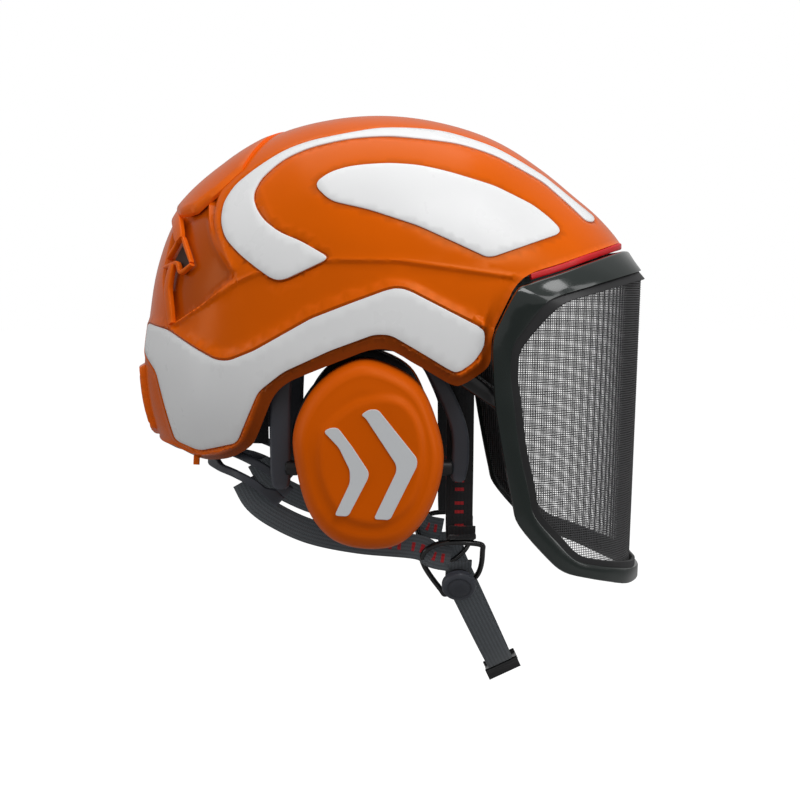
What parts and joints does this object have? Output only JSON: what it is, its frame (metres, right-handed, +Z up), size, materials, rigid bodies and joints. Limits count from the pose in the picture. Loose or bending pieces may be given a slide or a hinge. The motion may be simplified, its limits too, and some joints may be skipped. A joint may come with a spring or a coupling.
{
  "type": "hard hat",
  "caption": "Forestry hard hat with orange shell, white inlays, tilting mesh visor, swinging ear defenders, ratchet headband and chin strap.",
  "frame": {"origin": "middle of the wearer's head at the height of the ear tops", "axes": "+Z up, -Y the way the face looks, +X the wearer's left"},
  "size_m": [0.2286, 0.3088, 0.3427],
  "materials": {
    "orange_shell": "gloss",
    "orange_cup": "semi-gloss",
    "white_inlay": "gloss",
    "reflector": "satin",
    "red_seal": "matt",
    "visor_frame": "gloss",
    "visor_mesh": "woven mesh",
    "black_plastic": "satin",
    "steel": "satin",
    "slate_plastic": "satin",
    "foam": "cellular",
    "pad_cloth": "knitted",
    "cushion_skin": "satin",
    "black_webbing": "woven",
    "grey_webbing": "woven"
  },
  "bodies": {
    "helmet": {"outer_shell": "orange_shell", "rear_vent_hood": "orange_shell", "nape_bumper": "orange_shell", "side_band_right": "white_inlay", "side_band_left": "white_inlay", "crown_stripe_right": "white_inlay", "crown_stripe_left": "white_inlay", "top_panel_right": "white_inlay", "top_panel_left": "white_inlay", "brow_seal": "red_seal", "ear_bracket_right": "black_plastic", "ear_bracket_left": "black_plastic", "strap_ring_right": "black_plastic", "strap_ring_left": "black_plastic", "button_seat_right": "black_plastic", "button_seat_left": "black_plastic", "hanger_front_right": "black_plastic", "hanger_front_left": "black_plastic", "hanger_rear_right": "black_plastic", "hanger_rear_left": "black_plastic", "front_band": "black_plastic", "chin_slider": "black_plastic", "visor_pivot_right": "steel", "visor_pivot_left": "steel", "nape_cradle": "slate_plastic", "ratchet_base": "slate_plastic", "ratchet_cover": "slate_plastic", "impact_liner": "foam", "sweatband": "pad_cloth", "nape_pad": "pad_cloth", "crown_pad": "pad_cloth", "front_strap_right": "black_webbing", "front_strap_left": "black_webbing", "nape_strap_right": "black_webbing", "nape_strap_left": "black_webbing", "rear_strap_right": "grey_webbing", "rear_strap_left": "grey_webbing", "chin_strap": "grey_webbing"},
    "visor": {"visor_frame": "visor_frame", "visor_mesh": "visor_mesh", "visor_arm_right": "black_plastic", "visor_arm_left": "black_plastic"},
    "knob": {"ratchet_knob": "black_plastic", "ratchet_pinion": "steel"},
    "rack_right": {"rack_right": "black_plastic"},
    "rack_left": {"rack_left": "black_plastic"},
    "yoke_right": {"ear_yoke_right": "slate_plastic"},
    "cup_right": {"ear_cup_right": "orange_cup", "ear_foam_right": "foam", "ear_cushion_right": "cushion_skin", "chevron_small_right": "reflector", "chevron_large_right": "reflector"},
    "button_right": {"strap_button_right": "slate_plastic"},
    "yoke_left": {"ear_yoke_left": "slate_plastic"},
    "cup_left": {"ear_cup_left": "orange_cup", "ear_foam_left": "foam", "ear_cushion_left": "cushion_skin", "chevron_small_left": "reflector", "chevron_large_left": "reflector"},
    "button_left": {"strap_button_left": "slate_plastic"}
  },
  "joints": [
    {"name": "visor_tilt", "type": "hinge", "parent": "helmet", "child": "visor", "pos_m": [0, -0.0215, 0.0276], "axis": [-1, 0, 0], "range_deg": [0, 50]},
    {"name": "yoke_swing_right", "type": "hinge", "parent": "helmet", "child": "yoke_right", "pos_m": [-0.083, 0, 0.031], "axis": [0, 1, 0], "range_deg": [0, 8], "stiffness_Nm_per_rad": 0.6, "springref_deg": -8.59},
    {"name": "cup_tilt_right", "type": "hinge", "parent": "yoke_right", "child": "cup_right", "pos_m": [-0.084, 0, -0.048], "axis": [0, 1, 0], "range_deg": [-7, 7]},
    {"name": "button_press_right", "type": "slide", "parent": "helmet", "child": "button_right", "axis": [0.866, 0, 0.5], "range_m": [0, 0.0015], "stiffness_N_per_m": 400, "springref_m": -0.0005},
    {"name": "yoke_swing_left", "type": "hinge", "parent": "helmet", "child": "yoke_left", "pos_m": [0.083, 0, 0.031], "axis": [0, -1, 0], "range_deg": [0, 8], "stiffness_Nm_per_rad": 0.6, "springref_deg": -8.59},
    {"name": "cup_tilt_left", "type": "hinge", "parent": "yoke_left", "child": "cup_left", "pos_m": [0.084, 0, -0.048], "axis": [0, -1, 0], "range_deg": [-7, 7]},
    {"name": "button_press_left", "type": "slide", "parent": "helmet", "child": "button_left", "axis": [-0.866, 0, 0.5], "range_m": [0, 0.0015], "stiffness_N_per_m": 400, "springref_m": -0.0005},
    {"name": "knob_turn", "type": "hinge", "parent": "helmet", "child": "knob", "pos_m": [0, 0.088, -0.002], "axis": [0, 1, 0], "range_deg": [-90, 90]},
    {"name": "rack_slide_right", "type": "hinge", "parent": "helmet", "child": "rack_right", "pos_m": [0, 0.026, -0.002], "axis": [0, 0, 1], "range_deg": [-7.3, 7.3]},
    {"name": "rack_slide_left", "type": "hinge", "parent": "helmet", "child": "rack_left", "pos_m": [0, 0.026, -0.002], "axis": [0, 0, 1], "range_deg": [-7.3, 7.3]}
  ],
  "couplings": [
    {"joint": "rack_slide_right", "follows": "knob_turn", "ratio": 0.0806},
    {"joint": "rack_slide_left", "follows": "knob_turn", "ratio": -0.0806}
  ]
}
